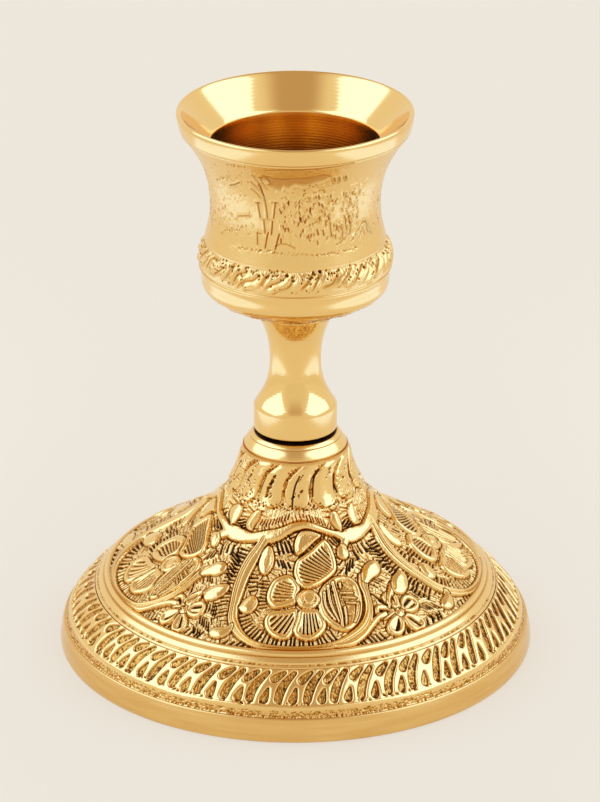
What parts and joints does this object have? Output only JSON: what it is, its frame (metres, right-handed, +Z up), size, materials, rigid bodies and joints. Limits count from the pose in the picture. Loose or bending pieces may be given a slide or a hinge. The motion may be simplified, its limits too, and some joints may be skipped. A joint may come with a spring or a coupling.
{
  "type": "altar candlestick",
  "caption": "Low cast brass altar candlestick: embossed hollow bell base, turned spool stem and flared candle cup on a threaded tie rod; the cup and stem unscrew from the base.",
  "frame": {"origin": "centre of the foot, on the surface the candlestick stands on", "axes": "+Z up along the axis of the rod and the candle socket; -Y towards the viewer of the picture; +X to the viewer's right"},
  "size_m": [0.1206, 0.1206, 0.1429],
  "materials": {
    "base_brass": "cast and chased brass, high spots polished, recesses darkened",
    "stem_brass": "turned and polished brass",
    "cup_brass": "cast brass, chased waist, polished bands, turned socket",
    "steel": "zinc plated steel"
  },
  "bodies": {
    "base": {"base_casting": "base_brass", "base_washer": "steel", "spring_washer": "steel", "base_nut": "steel"},
    "stem": {"stem": "stem_brass"},
    "cup": {"candle_cup": "cup_brass", "tie_rod": "steel", "rod_lock_nut": "steel"}
  },
  "joints": [
    {"name": "stem_lift", "type": "slide", "parent": "base", "child": "stem", "axis": [0, 0, 1], "range_m": [0, 0.007]},
    {"name": "cup_unscrew", "type": "hinge", "parent": "stem", "child": "cup", "pos_m": [0, 0, 0.0903], "axis": [0, 0, 1], "range_deg": [0, 2520]}
  ],
  "couplings": [
    {"joint": "stem_lift", "follows": "cup_unscrew", "m_per_rad": 0.00015915}
  ]
}
